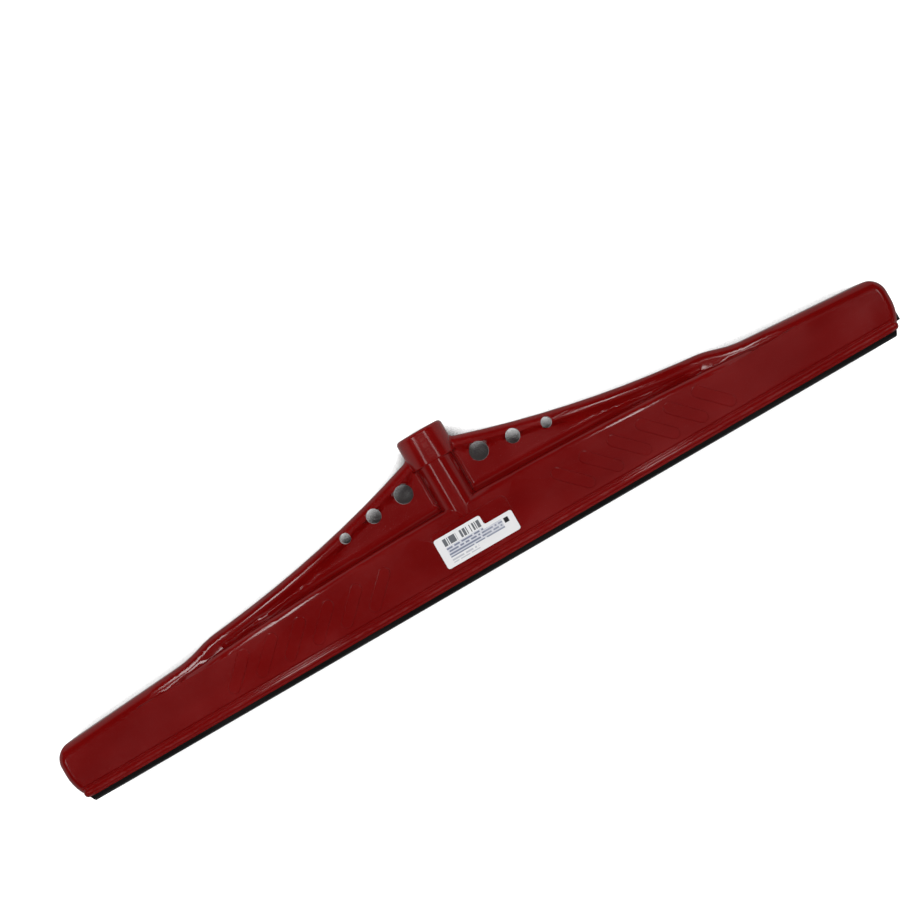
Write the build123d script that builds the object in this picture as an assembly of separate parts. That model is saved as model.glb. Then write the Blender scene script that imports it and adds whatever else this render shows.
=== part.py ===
"""Floor squeegee head, 600 mm, with a slide-out cassette that holds two rubber blades.

The head lies on its back. +X runs along the blades, +Y from the blade tips to the mouth of the
handle socket, and +Z out of the front face. Heights below are measured in Y from the blade tips and
depths in Z from the mid plane. The written pieces have their origin under the middle of the
bounding box, on the surface that the back rests on. Millimetres.
"""
import math
import os

from build123d import *

os.makedirs("parts", exist_ok=True)

# Rubber blades
blade_thick = 7.4
blade_height = 31.2
blade_bevel = 1.2
blade_inset = 4.0                           # the blades stop this far inside the body's ends
blade_end_cut_x, blade_end_cut_y = 4.0, 8.0

# Cassette rail round the blades
divider_half = 1.7
blade_gap = 0.35
rail_wall = 1.8
rail_roof = 2.4
seat_gap = 0.4
lug_reach = 2.8                             # end lug of the rail past the blades
lug_low = 8.4
slide_gap = 0.35                            # between the rail and the body, all round

# Hood of the body
body_length = 600.0
head_height = 100.0                         # blade tips to the mouth of the socket
hood_wall = 3.8
hood_foot = 4.1                             # lower lip of the hood above the blade tips
retainer_high, retainer_proud = 13.2, 1.4

# Handle socket
bore_radius = 12.3
bore_straight = 18.0
bore_cone = 6.0                             # length of the cone under the straight part
bore_bottom_wall = 6.15                     # solid left between the bore and the channel
taper_radius = 9.5
tip_radius = 9.0
mouth_chamfer = 0.8
mouth_round = 2.6
collar_wall = 3.9
collar_length = 22.0
boss_wall = 3.0
boss_proud = 0.55                           # crest of the boss over the flat faces
boss_low = 39.5
boss_cove = 3.0                             # hollow fillet between the boss and the web
collar_round = 1.2

# Outline seen from the front
hood_crown = 12.05                          # shoulder of the arms over the channel's top
end_corner_radius = 12.0
end_round = 8.0                            # round along the top of the arms, front and back
end_round_reach = 10.0                      # its straight run ends this far past the body's ends
end_side_y = 23.0                           # the end face curves in below this height
foot_inset = 6.5
arm_x, arm_slope = 209.0, 0.0734
bend_x, bend_rise, bend_slope = 190.5, 3.6, 0.33
shoulder_x, shoulder_rise = 175.0, 7.1      # where the long hollow arc of the web ends
web_arc_radius = 735.0
neck_drop = 12.6                            # the same arc meets the collar this far below its mouth
neck_sink, neck_rise, neck_round = 1.2, 7.0, 6.0

# Web, rim and ridge
web_half = 2.5
web_inset = 3.0
rim_half = 6.0
rim_round = 5.7
rim_depth = 11.0
rim_lean, rim_edge = 4.2, 0.1               # the rim's underside leans back by this much
window_inner_x = 5.0                        # the recess of the web runs in under the boss
ridge_rise = 13.85                          # top of the roof over the channel, at the middle
ridge_radius = 2370.0                       # the roof falls away to both ends on this arc
ridge_round = 4.6
roof_fillet = 8.0
roof_skirt = 15.0                           # depth of the arched part under the ridge
skirt_overlap = 9.0                         # the straight lower part reaches into it this far
flare_start_x, flare_end_x = 165.0, 245.0   # the rim widens here into the full hood

# Lower lip
bead_radius = 2.9
bead_proud = 0.8
bead_end_inset = 5.0
bead_end_round = 2.6
groove_y, groove_radius, groove_depth = 10.8, 0.9, 0.6

# Holes of falling size in the web: distance from the middle, height, radius
web_holes = [(27.6, 69.7, 6.3), (50.9, 67.2, 4.9), (73.5, 64.0, 3.6)]

# Raised work on both flat faces
grip_bar_length, grip_bar_width, grip_bar_proud = 29.0, 7.5, 0.5
grip_bar_count, grip_bar_first, grip_bar_pitch, grip_bar_y = 6, 70.0, 20.4, 25.6
grip_bar_angle = 45.0
pad_width, pad_height, pad_proud, pad_low, pad_round = 54.0, 25.0, 0.4, 13.8, 4.0
raised_root = 1.0                           # raised work starts this far inside the wall
grip_bar_edge, pad_edge = 0.35, 0.3         # rounds on their front edges

# Label stuck on the front pad
label_width, label_height, label_thick, label_low = 52.4, 20.4, 0.15, 14.6
label_notch_width, label_notch_height = 19.0, 6.8
label_round = 1.6

# Sizes that follow from those above
past = 1.0                                  # cutters run this far past the faces they open
nearness = 0.01                             # edges this close to a place count as being on it
half_length = body_length / 2
blade_length = body_length - 2 * blade_inset
rail_mouth_half = divider_half + blade_thick + blade_gap
rail_half = rail_mouth_half + rail_wall
rail_low = retainer_high + slide_gap
rail_top = blade_height + seat_gap + rail_roof
channel_half = rail_half + slide_gap
channel_top = rail_top + slide_gap
apron_half = channel_half + hood_wall       # mid plane to the flat front and back faces
collar_radius = bore_radius + collar_wall
collar_low = head_height - collar_length
boss_radius = taper_radius + boss_wall
boss_half = apron_half + boss_proud
bore_bottom = channel_top + bore_bottom_wall
half_depth = max(collar_radius, apron_half + bead_proud)
arm_y = channel_top + hood_crown
bend_y = arm_y + bend_rise
shoulder_y = arm_y + shoulder_rise
neck_y = head_height - neck_drop
ridge_y = channel_top + ridge_rise
hood_block_top = ridge_y - ridge_round - roof_skirt + skirt_overlap


def front_outline(reach=0.0):
    """Front outline of the body as a face; reach moves both of its ends outwards."""
    end = half_length + reach
    foot = (end - foot_inset, hood_foot)
    side = (end, end_side_y)
    corner = (end, arm_y - (end - arm_x) * arm_slope)
    shoulder = (shoulder_x, shoulder_y)
    neck = (collar_radius - neck_sink, neck_y)
    neck_top = (neck[0], neck_y + neck_rise)
    chord = math.hypot(shoulder[0] - neck[0], neck[1] - shoulder[1])
    chord_angle = math.atan2(neck[1] - shoulder[1], shoulder[0] - neck[0])
    shoulder_slope = math.tan(chord_angle - math.asin(chord / 2 / web_arc_radius))
    edges = [
        Line((0, hood_foot), foot),
        TangentArc(side, foot, tangent=(0, -1)),
        Line(side, corner),
        Line(corner, (arm_x, arm_y)),
        Spline(
            [(arm_x, arm_y), (bend_x, bend_y), shoulder],
            tangents=[(-1, arm_slope), (-1, bend_slope), (-1, shoulder_slope)],
        ),
        RadiusArc(shoulder, neck, web_arc_radius),
        Line(neck, neck_top),
        Line(neck_top, (0, neck_top[1])),
        Line((0, neck_top[1]), (0, hood_foot)),
    ]
    half = make_face(edges)
    half = fillet(half.vertices().sort_by_distance(corner)[0], end_corner_radius)
    half = fillet(half.vertices().sort_by_distance(neck)[0], neck_round)
    return half + mirror(half, Plane.YZ)


def both_sides(shape):
    """The shape and its mirror image about the mid plane."""
    return shape + mirror(shape, Plane.XY)


def rim_frame(outline):
    """The rounded rim over the web, which widens into the full hood at both ends."""
    plan_edges = [
        Line((0, rim_half), (flare_start_x, rim_half)),
        Spline(
            [(flare_start_x, rim_half), (flare_end_x, apron_half)],
            tangents=[(1, 0), (1, 0)],
        ),
        Line((flare_end_x, apron_half), (half_length, apron_half)),
        Line((half_length, apron_half), (half_length, 0)),
        Line((half_length, 0), (0, 0)),
        Line((0, 0), (0, rim_half)),
    ]
    quarter = make_face(plan_edges)
    half = quarter + mirror(quarter, Plane.YZ)
    plan = half + mirror(half, Plane.XZ)
    plan = Plane.XZ * plan
    solid = extrude(plan, head_height, dir=(0, 1, 0)) & extrude(outline, apron_half, both=True)
    solid = fillet(rim_edges(solid, outline), rim_round)
    wide_outline = front_outline(end_round_reach)
    block = extrude(wide_outline, apron_half, both=True)
    return solid & fillet(rim_edges(block, wide_outline), end_round)


def rim_edges(solid, outline):
    """Edges where the outline's wall meets the front and back faces, except along the foot."""
    wall = outline.face().outer_wire()
    picked = []
    for edge in solid.edges():
        middle = edge @ 0.5
        flat = Vector(middle.X, middle.Y, 0)
        along_wall = wall.distance_to(flat) < nearness and abs(middle.Z) > web_half
        between = hood_foot + past < middle.Y < neck_y + neck_rise / 2
        across = abs((edge @ 0).X - (edge @ 1).X) + abs((edge @ 0).Y - (edge @ 1).Y) < nearness
        if along_wall and between and not across:
            picked.append(edge)
    return picked


def web_windows():
    """The recess between rim and roof, cut through the rim's frame on both halves."""
    drop = Vector(0, -rim_depth, 0)
    shoulder = Vector(shoulder_x, shoulder_y) + drop
    neck = Vector(collar_radius - neck_sink, neck_y) + drop
    below = hood_foot - past
    arc = RadiusArc(shoulder, neck, web_arc_radius)
    inner = neck + (arc % 1) * (neck.X - window_inner_x)
    edges = [
        arc,
        Line(neck, inner),
        Line(inner, (inner.X, below)),
        Line((inner.X, below), (shoulder.X, below)),
        Line((shoulder.X, below), shoulder),
    ]
    half = extrude(make_face(edges), apron_half + past, both=True)
    return half + mirror(half, Plane.YZ)


def lean_back(framed):
    """Chamfers the rim's lower edges, so that its underside leans back to the web."""
    lowest = shoulder_y - rim_depth - past
    edges = [
        e for e in framed.edges()
        if e.geom_type == GeomType.CIRCLE
        and abs(abs((e @ 0.5).Z) - rim_half) < nearness
        and e.length > shoulder_x / 2
        and lowest < (e @ 0.5).Y < (shoulder_y + neck_y) / 2 - rim_depth
    ]
    return chamfer(edges, rim_half - web_half - rim_edge, rim_lean)


def roof_and_web(outline):
    """Hood roof with its rounded ridge, the hollow fillet above it and the thin web."""
    ridge_z = apron_half - ridge_round
    fillet_z = web_half + roof_fillet
    low = ridge_y - ridge_round - roof_skirt
    arc_mid = (
        ridge_z + ridge_round * math.sin(math.pi / 4),
        ridge_y - ridge_round + ridge_round * math.cos(math.pi / 4),
    )
    hollow_mid = (
        fillet_z - roof_fillet * math.sin(math.pi / 4),
        ridge_y + roof_fillet - roof_fillet * math.cos(math.pi / 4),
    )
    section = [
        Line((0, low), (apron_half, low)),
        Line((apron_half, low), (apron_half, ridge_y - ridge_round)),
        ThreePointArc((apron_half, ridge_y - ridge_round), arc_mid, (ridge_z, ridge_y)),
        Line((ridge_z, ridge_y), (fillet_z, ridge_y)),
        ThreePointArc((fillet_z, ridge_y), hollow_mid, (web_half, ridge_y + roof_fillet)),
        Line((web_half, ridge_y + roof_fillet), (web_half, head_height)),
        Line((web_half, head_height), (0, head_height)),
        Line((0, head_height), (0, low)),
    ]
    quarter = make_face(section)
    half_section = quarter + mirror(quarter, Plane.YZ)
    placed = Plane((0, 0, 0), x_dir=(0, 0, -1), z_dir=(1, 0, 0)) * half_section
    centre = Axis((0, ridge_y - ridge_radius, 0), (0, 0, 1))
    swing = math.degrees(flare_end_x / ridge_radius)
    placed = placed.rotate(centre, swing)
    arch = revolve(placed, centre, -2 * swing)
    inner = offset(outline, -web_inset)
    return arch & extrude(inner, apron_half, both=True)


def lower_hood():
    """Straight lower part of the hood with the bead along its lip and the groove over it."""
    block = Pos(0, (hood_foot + hood_block_top) / 2, 0) * Box(
        2 * flare_end_x, hood_block_top - hood_foot, 2 * apron_half
    )
    bead_length = 2 * (half_length - bead_end_inset)
    bead = Pos(0, hood_foot + bead_radius, apron_half + bead_proud - bead_radius) * (
        Rot(0, 90, 0) * Cylinder(bead_radius, bead_length)
    )
    bead = fillet(bead.edges().filter_by(GeomType.CIRCLE), bead_end_round)
    return block + both_sides(bead)


def grooves():
    """The fine line pressed into both faces above the bead."""
    depth_z = apron_half - groove_depth + groove_radius
    groove = Pos(0, groove_y, depth_z) * (Rot(0, 90, 0) * Cylinder(groove_radius, body_length))
    return both_sides(groove)


def socket_outside():
    """Collar at the mouth and the boss that runs down over the ridge, before they are bored."""
    collar = axial_cylinder(collar_radius, collar_low, head_height)
    collar = fillet(collar.edges().sort_by(Axis.Y)[-1], mouth_round)
    lower_edge = collar.edges().filter_by(GeomType.CIRCLE).sort_by(Axis.Y)[0]
    collar = fillet(lower_edge, collar_round)
    boss_height = collar_low - boss_low + mouth_round
    centre_y = boss_low + boss_height / 2
    crest = boss_half - boss_radius
    middle = Pos(0, centre_y, 0) * Box(2 * boss_radius, boss_height, 2 * crest)
    cap = Pos(0, 0, crest) * axial_cylinder(boss_radius, boss_low, boss_low + boss_height)
    return collar + middle + both_sides(cap) + boss_coves()


def boss_coves():
    """Hollow fillets between the boss and the web, up to the rim."""
    low = ridge_y - ridge_round
    high = collar_low + mouth_round
    centre_y = (low + high) / 2
    side_x, side_z = boss_radius + boss_cove, web_half + boss_cove
    coves = Pos(0, centre_y, 0) * Box(2 * side_x, high - low, 2 * side_z)
    for x in (-side_x, side_x):
        for z in (-side_z, side_z):
            coves -= Pos(x, 0, z) * axial_cylinder(boss_cove, low - past, high + past)
    return coves


def axial_cylinder(radius, low, high, top_radius=None):
    """Cylinder or cone along Y from low to high; top_radius makes it a cone."""
    height = high - low
    if top_radius is None:
        solid = Cylinder(radius, height)
    else:
        solid = Cone(radius, top_radius, height)
    return Pos(0, (low + high) / 2, 0) * (Rot(-90, 0, 0) * solid)


def bore():
    """Straight mouth, short cone and long slow taper that wedges the handle's end."""
    straight_low = head_height - bore_straight
    neck_low = straight_low - bore_cone
    mouth = axial_cylinder(bore_radius, straight_low, head_height + 1)
    lead = axial_cylinder(
        bore_radius, head_height - mouth_chamfer, head_height, bore_radius + mouth_chamfer
    )
    cone = axial_cylinder(taper_radius, neck_low, straight_low, bore_radius)
    taper = axial_cylinder(tip_radius, bore_bottom, neck_low, taper_radius)
    return mouth + lead + cone + taper


def holes():
    """Through holes of falling size on both sides of the socket."""
    cutters = Part()
    for x, y, radius in web_holes:
        for side in (-1, 1):
            cutters += Pos(side * x, y, 0) * Cylinder(radius, 3 * apron_half)
    return cutters


def channel():
    """Room for the cassette, open at the foot and at both ends, with a retainer on each wall."""
    low = hood_foot - past
    room = Pos(0, (channel_top + low) / 2, 0) * Box(
        body_length + 2 * past, channel_top - low, 2 * channel_half
    )
    retainer = Pos(0, (low + retainer_high) / 2, channel_half - retainer_proud / 2) * Box(
        body_length + 2 * past, retainer_high - low, retainer_proud
    )
    return room - both_sides(retainer)


def raised_work():
    """Slanted grip bars on both halves and the plain pad in the middle, on both faces."""
    root = apron_half - raised_root
    bar_face = SlotOverall(grip_bar_length, grip_bar_width)
    raised = Part()
    for side in (-1, 1):
        for step in range(grip_bar_count):
            place = Pos(side * (grip_bar_first + step * grip_bar_pitch), grip_bar_y, root)
            turned = Rot(0, 0, -side * grip_bar_angle) * bar_face
            bar = extrude(turned, raised_root + grip_bar_proud)
            raised += place * fillet(bar.faces().sort_by(Axis.Z)[-1].edges(), grip_bar_edge)
    pad_face = RectangleRounded(pad_width, pad_height, pad_round)
    pad = extrude(pad_face, raised_root + pad_proud)
    pad = fillet(pad.faces().sort_by(Axis.Z)[-1].edges(), pad_edge)
    raised += Pos(0, pad_low + pad_height / 2, root) * pad
    return both_sides(raised)


def make_body():
    """The whole one-piece moulding."""
    outline = front_outline()
    body = lean_back(rim_frame(outline) - web_windows())
    body = body + roof_and_web(outline) + lower_hood() + socket_outside() + raised_work()
    return body - grooves() - bore() - holes() - channel()


def make_rail():
    """Extruded cassette rail: a roof, two side walls and a divider, with one end lug."""
    height = rail_top - rail_low
    shell = Pos(0, rail_low + height / 2, 0) * Box(blade_length, height, 2 * rail_half)
    slot_height = blade_height + seat_gap - rail_low
    slot_z = (divider_half + rail_mouth_half) / 2
    slot = Pos(0, rail_low - past + (slot_height + past) / 2, slot_z) * Box(
        blade_length + 2 * past, slot_height + past, rail_mouth_half - divider_half
    )
    lug_height = rail_top - lug_low
    lug_half = channel_half - retainer_proud - slide_gap
    lug = Pos((blade_length + lug_reach) / 2, lug_low + lug_height / 2, 0) * Box(
        lug_reach, lug_height, 2 * lug_half
    )
    return shell - both_sides(slot) + lug


def make_blade():
    """Front rubber blade: a flat strip, its tip bevelled outside and its lower corners cut."""
    half = blade_length / 2
    points = [
        (-half, blade_end_cut_y),
        (-half, blade_height),
        (half, blade_height),
        (half, blade_end_cut_y),
        (half - blade_end_cut_x, 0),
        (-half + blade_end_cut_x, 0),
    ]
    strip = Pos(0, 0, divider_half) * extrude(make_face(Polyline(points, close=True)), blade_thick)
    tip = [e for e in strip.edges() if abs(e.center().Y) < 0.01 and e.length > half]
    outer_tip = sorted(tip, key=lambda e: e.center().Z)[-1]
    return chamfer(outer_tip, blade_bevel)


def make_label():
    """Thin adhesive label with one notched corner."""
    low = label_low
    high = low + label_height
    right = label_width / 2
    points = [
        (-right, low),
        (right, low),
        (right, high - label_notch_height),
        (right - label_notch_width, high - label_notch_height),
        (right - label_notch_width, high),
        (-right, high),
    ]
    face = make_face(Polyline(points, close=True))
    face = fillet(face.vertices(), label_round)
    return Pos(0, 0, apron_half + pad_proud) * extrude(face, label_thick)


def write(name, solid):
    """Moves a finished piece to its place over the row's origin and writes it."""
    placed = Pos(0, -head_height / 2, half_depth) * solid
    placed.label = name
    export_step(placed, "parts/" + name + ".step")


blade = make_blade()
write("body", make_body())
write("cassette_rail", make_rail())
write("front_blade", blade)
write("rear_blade", mirror(blade, Plane.XY))
write("label", make_label())
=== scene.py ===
import math

import bpy
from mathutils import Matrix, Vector


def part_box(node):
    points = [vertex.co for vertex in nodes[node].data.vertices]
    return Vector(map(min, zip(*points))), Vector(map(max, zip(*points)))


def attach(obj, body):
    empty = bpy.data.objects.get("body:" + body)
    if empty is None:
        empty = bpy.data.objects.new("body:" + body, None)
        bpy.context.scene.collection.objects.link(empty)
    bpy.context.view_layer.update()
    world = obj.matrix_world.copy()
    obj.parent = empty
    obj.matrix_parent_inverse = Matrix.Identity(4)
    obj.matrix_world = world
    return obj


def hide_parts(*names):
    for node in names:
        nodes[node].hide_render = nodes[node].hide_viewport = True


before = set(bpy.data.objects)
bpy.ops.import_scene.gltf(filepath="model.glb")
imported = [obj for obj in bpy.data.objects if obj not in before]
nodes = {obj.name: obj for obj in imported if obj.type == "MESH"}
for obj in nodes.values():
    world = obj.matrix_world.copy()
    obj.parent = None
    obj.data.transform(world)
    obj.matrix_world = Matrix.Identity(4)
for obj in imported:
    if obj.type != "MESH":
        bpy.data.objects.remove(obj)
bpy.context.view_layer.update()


# --- Body -----------------------------------------------------------------------------------
# The one-piece injection moulding: hood, lower lip, web with its holes, rim and handle socket.
# Deep red polypropylene, glossy from the mould, with flow lines, a fine ripple on its skin, and
# scuffs on the parts that stand proud. Everything else is held by it.
class Socket:
    """An output socket of a shader node, so that shader maths is written as plain expressions."""

    def __init__(self, tree, output):
        self.tree = tree
        self.output = output

    @classmethod
    def node(cls, tree, kind, settings=None, sockets=(), output=0):
        """Adds a node, sets its settings and then its sockets, and returns one of its outputs."""
        made = tree.nodes.new(kind)
        for name, value in (settings or {}).items():
            setattr(made, name, value)
        pairs = sockets.items() if isinstance(sockets, dict) else enumerate(sockets)
        for name, value in pairs:
            if isinstance(value, cls):
                tree.links.new(value.output, made.inputs[name])
            else:
                made.inputs[name].default_value = value
        return cls(tree, made.outputs[output])

    def maths(self, operation, *values):
        return self.node(self.tree, "ShaderNodeMath", {"operation": operation}, values)

    def __add__(self, other):
        return self.maths("ADD", self, other)

    def __sub__(self, other):
        return self.maths("SUBTRACT", self, other)

    def __rsub__(self, other):
        return self.maths("SUBTRACT", other, self)

    def __mul__(self, other):
        return self.maths("MULTIPLY", self, other)

    def __truediv__(self, other):
        return self.maths("DIVIDE", self, other)

    def __rtruediv__(self, other):
        return self.maths("DIVIDE", other, self)

    __radd__ = __add__
    __rmul__ = __mul__

    def size(self):
        return self.maths("ABSOLUTE", self)

    def floor(self):
        return self.maths("FLOOR", self)

    def above(self, limit):
        return self.maths("GREATER_THAN", self, limit)

    def ramp_up(self, low, high):
        """0 below low, 1 above high and smooth in between; high may be the lower of the two."""
        return self.node(
            self.tree, "ShaderNodeMapRange", {"interpolation_type": "SMOOTHSTEP"},
            {"Value": self, "From Min": low, "From Max": high},
        )


def new_finish(name, **constants):
    """Material whose unvarying sockets are set here; returns it with its tree and its place."""
    material = bpy.data.materials.new(name)
    material.use_nodes = True
    tree = material.node_tree
    shader = tree.nodes["Principled BSDF"]
    for socket, value in constants.items():
        shader.inputs[socket.replace("_", " ")].default_value = value
    return material, tree, Socket.node(tree, "ShaderNodeTexCoord", output="Object")


def connect(tree, **feeds):
    """Feeds the Principled shader's varying sockets."""
    shader = tree.nodes["Principled BSDF"]
    for socket, value in feeds.items():
        tree.links.new(value.output, shader.inputs[socket.replace("_", " ")])


def stretched(place, scale, turn=0.0):
    """The place turned about Z and scaled, for a pattern that runs one way."""
    return Socket.node(
        place.tree, "ShaderNodeMapping", None,
        {"Vector": place, "Rotation": (0, 0, turn), "Scale": scale},
    )


def noise(place, scale=1.0, detail=2.0, roughness=0.5):
    """Cloudy value about 0.5, with this many cells to the metre of a place that isn't stretched."""
    return Socket.node(
        place.tree, "ShaderNodeTexNoise", None,
        {"Vector": place, "Scale": scale, "Detail": detail, "Roughness": roughness},
    )


def along_axis(place, axis):
    """The X, Y or Z of a place."""
    return Socket.node(place.tree, "ShaderNodeSeparateXYZ", None, [place], axis)


def blend(tree, factor, first, second):
    """Colour that goes from first to second as factor goes from 0 to 1."""
    first_input, second_input, result = 6, 7, 2     # the colour sockets of a Mix node
    return Socket.node(
        tree, "ShaderNodeMix", {"data_type": "RGBA"},
        {"Factor": factor, first_input: first, second_input: second}, result,
    )


def bumped(height, distance, normal=None):
    """Normal of a skin that rises by distance where height is 1."""
    sockets = {"Strength": 1.0, "Distance": distance, "Height": height}
    if normal is not None:
        sockets["Normal"] = normal
    return Socket.node(height.tree, "ShaderNodeBump", None, sockets)


DEEP_RED = (0.122, 0.0012, 0.0012, 1)
FLOW_RED = (0.166, 0.0024, 0.0022, 1)
RUBBED_RED = (0.22, 0.030, 0.028, 1)
SETTLED_DUST = (0.26, 0.13, 0.12, 1)
EDGE_ROUND = 0.00045                        # radius that the mould leaves on every edge
SKIN_RELIEF = 0.00004                       # height of the ripple and the flow lines
CREST_DEPTH = 0.00025                       # only this much of the proudest parts is rubbed
DUST_DEPTH, DUST_FREE_DEPTH = 0.003, 0.008  # dust settles this near the web's mid plane
WEB_FOOT, DUSTY_HEIGHT = 0.0, 0.008         # and from the foot of the web up
SMOOTH_ANGLE = math.radians(28)
MERGE_DISTANCE = 1e-6
body_low, body_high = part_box("body")
middle_depth = (body_low.z + body_high.z) / 2
proud_depth = body_high.z - middle_depth

red_gloss, tree, place = new_finish("red_gloss_moulding", IOR=1.47)
depth = (along_axis(place, "Z") - middle_depth).size()
flow = noise(stretched(place, (5, 26, 26)), detail=4.0, roughness=0.6).ramp_up(0.3, 0.7)
cloud = noise(place, 35.0, detail=3.0).ramp_up(0.35, 0.7)
ripple = noise(place, 520.0)
speck = noise(place, 2300.0, detail=1.0).ramp_up(0.70, 0.76)
hairs = noise(stretched(place, (22, 2600, 2600), math.radians(24)), detail=1.0)
hairs_across = noise(stretched(place, (30, 3300, 3300), math.radians(-63)), detail=1.0)
scratches = (hairs.ramp_up(0.68, 0.73) + hairs_across.ramp_up(0.70, 0.74)) * cloud
crest = depth.ramp_up(proud_depth - CREST_DEPTH, proud_depth)
rubbing = noise(stretched(place, (140, 700, 700)), detail=3.0, roughness=0.7).ramp_up(0.46, 0.62)
hollow = depth.ramp_up(DUST_FREE_DEPTH, DUST_DEPTH)
hollow = hollow * along_axis(place, "Y").ramp_up(WEB_FOOT, DUSTY_HEIGHT)
dust = speck * (hollow * 0.5 + 0.16)
rounded = Socket.node(tree, "ShaderNodeBevel", {"samples": 4}, {"Radius": EDGE_ROUND})
flat = Socket.node(tree, "ShaderNodeNewGeometry", output="Normal")
agreement = Socket.node(
    tree, "ShaderNodeVectorMath", {"operation": "DOT_PRODUCT"}, [rounded, flat], "Value"
)
edge = agreement.ramp_up(0.985, 0.90)
rubbed = crest * rubbing * 0.3 + edge * rubbing * 0.35
colour = blend(tree, flow * 0.6 + cloud * 0.3, DEEP_RED, FLOW_RED)
colour = blend(tree, rubbed, colour, RUBBED_RED)
colour = blend(tree, dust, colour, SETTLED_DUST)
connect(
    tree,
    Base_Color=colour,
    Roughness=0.10 + flow * 0.02 + cloud * 0.05 + scratches * 0.10 + rubbed * 0.25 + dust * 0.4,
    Normal=bumped(ripple * 0.5 + flow * 0.8 - scratches * 0.1, SKIN_RELIEF, rounded),
)

bpy.ops.object.select_all(action="DESELECT")
moulding = bpy.data.objects.new("moulding", nodes["body"].data.copy())
bpy.context.scene.collection.objects.link(moulding)
bpy.context.view_layer.objects.active = moulding
moulding.select_set(True)
bpy.ops.object.mode_set(mode="EDIT")
bpy.ops.mesh.select_all(action="SELECT")
bpy.ops.mesh.remove_doubles(threshold=MERGE_DISTANCE)
bpy.ops.object.mode_set(mode="OBJECT")
bpy.ops.object.shade_smooth_by_angle(angle=SMOOTH_ANGLE)
smoothing = moulding.modifiers.new("smoothing", "WEIGHTED_NORMAL")
smoothing.keep_sharp = True
smoothing.weight = 100                      # flat faces stay flat up to their rounded edges
bpy.ops.object.modifier_apply(modifier=smoothing.name)
moulding.data.materials.clear()
moulding.data.materials.append(red_gloss)
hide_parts("body")
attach(moulding, "head")

# --- Cassette rail --------------------------------------------------------------------------
# Extruded black plastic channel that slides into the hood from one end and carries both blades.
# Satin, with die lines along its length and a dusty film; only its ends show.
RAIL_BLACK = (0.003, 0.003, 0.0033, 1)
RAIL_GREY = (0.012, 0.012, 0.013, 1)
DIE_LINE_RELIEF = 0.00005                   # height of the lines that the die leaves

rail_finish, tree, place = new_finish("black_satin_extrusion", IOR=1.5)
die_lines = noise(stretched(place, (3, 1900, 1900)), detail=3.0, roughness=0.7)
film = noise(place, 90.0, detail=4.0, roughness=0.65).ramp_up(0.45, 0.7)
connect(
    tree,
    Base_Color=blend(tree, film * 0.6 + die_lines * 0.2, RAIL_BLACK, RAIL_GREY),
    Roughness=0.32 + film * 0.18 + die_lines * 0.08,
    Normal=bumped(die_lines, DIE_LINE_RELIEF),
)


def refinish(node_name, finish):
    """Gives a piece of the frame its finish."""
    nodes[node_name].data.materials.clear()
    nodes[node_name].data.materials.append(finish)


refinish("cassette_rail", rail_finish)

# --- Rubber blades --------------------------------------------------------------------------
# Two strips of black rubber pressed into the rail. They are cut from sheet, so their faces have a
# faint cloth-like grain, and the tips are rubbed matt and grey where they meet the floor.
RUBBER_BLACK = (0.0030, 0.0030, 0.0030, 1)
RUBBER_GREY = (0.020, 0.0195, 0.019, 1)
TIP_WEAR = 0.0035                           # height of the rubbed band at the tips
GRAIN_RELIEF = 0.00008                      # height of the cloth-like grain
blade_low, blade_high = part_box("front_blade")

rubber, tree, place = new_finish("black_rubber", IOR=1.52)
grain = noise(place, 2600.0)
streaks = noise(stretched(place, (18, 420, 420)), detail=4.0, roughness=0.7).ramp_up(0.42, 0.72)
lint = noise(place, 3100.0, detail=1.0).ramp_up(0.73, 0.77)
tip = along_axis(place, "Y").ramp_up(blade_low.y + TIP_WEAR, blade_low.y)
greying = streaks * 0.35 + tip * streaks * 0.5 + lint
connect(
    tree,
    Base_Color=blend(tree, greying, RUBBER_BLACK, RUBBER_GREY),
    Roughness=0.52 + streaks * 0.15 + tip * 0.12,
    Normal=bumped(grain + streaks * 0.5, GRAIN_RELIEF),
)
refinish("front_blade", rubber)
refinish("rear_blade", rubber)

# --- Label ----------------------------------------------------------------------------------
# Self-adhesive paper label on the front pad, printed in grey with plain bars, rows of dashes and
# one solid square, none of which says anything. Its paper is white and slightly fibrous.
PAPER = (0.74, 0.74, 0.75, 1)
PAPER_SHADE = (0.70, 0.70, 0.70, 1)
PRINTED_TINT = (0.46, 0.48, 0.55, 1)
BAR_INK = (0.045, 0.052, 0.065, 1)
ROW_INK = (0.17, 0.19, 0.27, 1)
SQUARE_INK = (0.012, 0.010, 0.012, 1)
BAR_PITCH, ROW_PITCH, DASH_PITCH = 0.00062, 0.0019, 0.0013
ROW_SHIFT = 0.0007                          # each row of dashes starts this much further along
INK_BLEED, DASH_BLEED = 0.004, 0.06         # soft edge of ink, as a share of what it is printed on
FIBRE_RELIEF = 0.00003
# Where each kind of print lies, from and to, as shares of the label's height or width
BAR_HEIGHTS, LEFT_BARS, RIGHT_BARS = (0.66, 0.90), (0.10, 0.28), (0.33, 0.60)
BLOCK_HEIGHTS, BLOCK_WIDTHS = (0.28, 0.63), (0.10, 0.60)
STRIP_HEIGHTS, STRIP_WIDTHS = (0.27, 0.55), (0.60, 0.84)
FOOT_HEIGHTS, FOOT_WIDTHS = (0.10, 0.25), (0.10, 0.46)
SQUARE_HEIGHTS, SQUARE_WIDTHS = (0.38, 0.54), (0.865, 0.925)
DASH_HEIGHTS = (0.22, 0.78)                 # share of the row's pitch
label_low, label_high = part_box("label")
label_size = label_high - label_low

paper, tree, place = new_finish("printed_paper_label", IOR=1.45)
x = along_axis(place, "X")
y = along_axis(place, "Y")
along = (x - label_low.x) / label_size.x
up = (y - label_low.y) / label_size.y


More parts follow.
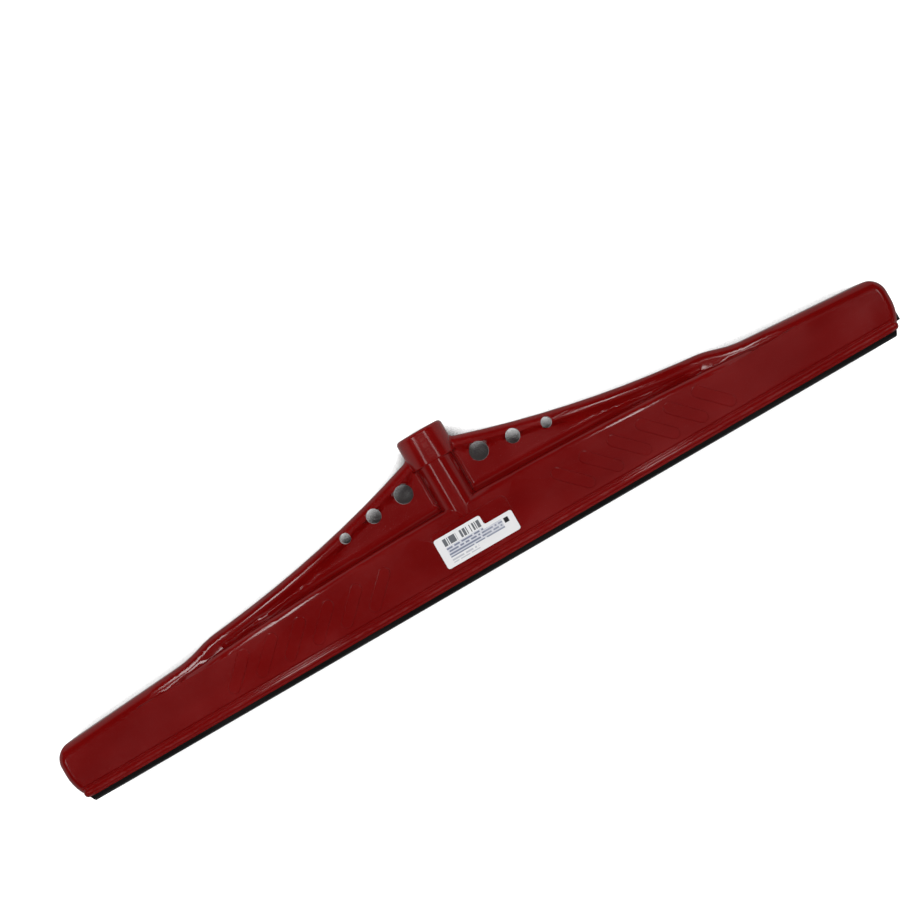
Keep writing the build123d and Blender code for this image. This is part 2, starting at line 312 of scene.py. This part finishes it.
def inside(value, band, bleed=INK_BLEED):
    """1 within a band, with a soft edge of ink."""
    low, high = band
    return value.ramp_up(low - bleed, low + bleed) * value.ramp_up(high + bleed, high - bleed)


def chance(*numbers):
    """Random value that stays the same over one cell."""
    mixed = Socket.node(tree, "ShaderNodeCombineXYZ", None, numbers)
    return Socket.node(tree, "ShaderNodeTexWhiteNoise", {"noise_dimensions": "3D"}, [mixed])


bars = chance((x / BAR_PITCH).floor()).above(0.36)
bars = bars * inside(up, BAR_HEIGHTS) * (inside(along, LEFT_BARS) + inside(along, RIGHT_BARS))
row = (y / ROW_PITCH).floor()
within_row = y / ROW_PITCH - row
dashes = chance(((x + row * ROW_SHIFT) / DASH_PITCH).floor(), row).above(0.22)
dashes = dashes * inside(within_row, DASH_HEIGHTS, DASH_BLEED)
block = inside(up, BLOCK_HEIGHTS) * inside(along, BLOCK_WIDTHS)
strip = inside(up, STRIP_HEIGHTS) * inside(along, STRIP_WIDTHS)
foot = inside(up, FOOT_HEIGHTS) * inside(along, FOOT_WIDTHS)
square = inside(along, SQUARE_WIDTHS) * inside(up, SQUARE_HEIGHTS)
fibres = noise(stretched(place, (900, 2600, 2600), 0.5), detail=3.0)
grime = noise(place, 160.0, detail=3.0).ramp_up(0.5, 0.8)
colour = blend(tree, fibres * 0.25 + grime * 0.25, PAPER, PAPER_SHADE)
colour = blend(tree, block * 0.55 + strip * 0.6, colour, PRINTED_TINT)
colour = blend(tree, dashes * (block + strip * 0.8 + foot * 0.5), colour, ROW_INK)
colour = blend(tree, bars * 0.9, colour, BAR_INK)
colour = blend(tree, square, colour, SQUARE_INK)
connect(
    tree,
    Base_Color=colour,
    Roughness=0.42 + fibres * 0.15 - (bars + dashes * block) * 0.08,
    Normal=bumped(fibres, FIBRE_RELIEF),
)
refinish("label", paper)

# --- Camera ---------------------------------------------------------------------------------
# The head lies on its back and is looked at from straight above. The camera is rolled, so that
# the head's length climbs from the lower left to the upper right.
CAMERA_HEIGHT = 1.05
CAMERA_LENS = 65.0
CAMERA_ROLL = math.radians(-30.1)
LOOK_AT = Vector((0.0120, 0.0293, 0.0))

camera_data = bpy.data.cameras.new("camera")
camera_data.lens = CAMERA_LENS
camera = bpy.data.objects.new("camera", camera_data)
camera.location = LOOK_AT + Vector((0, 0, CAMERA_HEIGHT))
camera.rotation_euler = (0, 0, CAMERA_ROLL)
bpy.context.scene.collection.objects.link(camera)
bpy.context.scene.camera = camera

# --- Floor and light ------------------------------------------------------------------------
# A white floor that glows evenly, as a light table does; where the head shuts it in, its glow is
# faded out as a painted shadow, which darkens the floor seen through the holes and along the head's
# edges.
# Weak light comes from pale walls, lamps and a large ceiling that the gloss doesn't show.
FLOOR_SIZE = 60.0
FLOOR_DROP = 0.0002                         # the floor lies just clear of the head's back
FLOOR_GREY = (0.085, 0.085, 0.085, 1)
UNLIT, LIT = (0, 0, 0, 1), (1, 1, 1, 1)
# The floor's painted shadow reaches this far from the head, and fades in between these shares of
# open sky.
PAINTED_SHADOW_REACH = 0.035                       # how far off the head still darkens the floor
SHUT_IN, OPEN = 0.40, 0.60                  # shares of open sky where the floor is dark and lit

bpy.ops.object.select_all(action="DESELECT")
bpy.ops.mesh.primitive_plane_add(size=FLOOR_SIZE, location=(0, 0, -FLOOR_DROP))
floor = bpy.context.object
floor.name = "floor"
floor.visible_glossy = False
floor_finish, tree, place = new_finish(
    "white_floor_with_painted_shadow", Base_Color=FLOOR_GREY, Roughness=0.9, Emission_Strength=1.3
)
# Painted shadow: the floor's glow follows how open the floor is to the sky, so it is dark under the
# head and in its holes.
openness = Socket.node(
    tree, "ShaderNodeAmbientOcclusion", {"samples": 8}, {"Distance": PAINTED_SHADOW_REACH}, "AO"
)
connect(tree, Emission_Color=blend(tree, openness.ramp_up(SHUT_IN, OPEN), UNLIT, LIT))
floor.data.materials.append(floor_finish)

WALL_GLOW = (0.38, 0.38, 0.38, 1)           # pale walls, seen low down all round
LOFT_GLOW = (0.015, 0.015, 0.015, 1)        # the room is dark overhead
WALL_TOP, WALL_FULL = 0.50, 0.16            # how far up they go: 0 is level, 1 is overhead
world = bpy.data.worlds.new("room")
world.use_nodes = True
tree = world.node_tree
height = along_axis(Socket.node(tree, "ShaderNodeTexCoord", output="Generated"), "Z")
colour = blend(tree, height.ramp_up(WALL_TOP, WALL_FULL), LOFT_GLOW, WALL_GLOW)
tree.links.new(colour.output, tree.nodes["Background"].inputs["Color"])
bpy.context.scene.world = world


def lamp(name, place, size, power, turn=CAMERA_ROLL, mirrored=True):
    """Rectangular lamp that shines straight down; a mirrored one shows in the gloss."""
    data = bpy.data.lights.new(name, "AREA")
    data.shape = "RECTANGLE"
    data.size, data.size_y = size
    data.energy = power
    light = bpy.data.objects.new(name, data)
    light.location = place
    light.rotation_euler = (0, 0, turn)
    light.visible_glossy = mirrored
    bpy.context.scene.collection.objects.link(light)


# Low over the head, for the thin lines of light on its ridge and rims
lamp("left_lamp", (-0.178, 0.094, 0.27), (0.06, 0.060), 0.115)
lamp("right_lamp", (0.158, 0.096, 0.33), (0.040, 0.060), 0.086)
# Far off to both sides, for the pair of lines down the socket alone
lamp("left_socket_lamp", (-1.38, 0.0, 2.0), (0.36, 0.18), 0.95, turn=0.0)
lamp("right_socket_lamp", (1.04, 0.0, 2.0), (0.25, 0.18), 0.70, turn=0.0)
# Wide and dim, for the soft sheen on the flat faces
lamp("left_panel", (-0.42, 0.03, 1.0), (0.18, 0.7), 0.02)
lamp("right_panel", (0.35, 0.03, 1.0), (0.25, 0.7), 0.06)
lamp("ceiling", (0.0, 0.1, 1.5), (1.5, 1.5), 25.0, mirrored=False)
bpy.context.scene.view_settings.view_transform = "Standard"
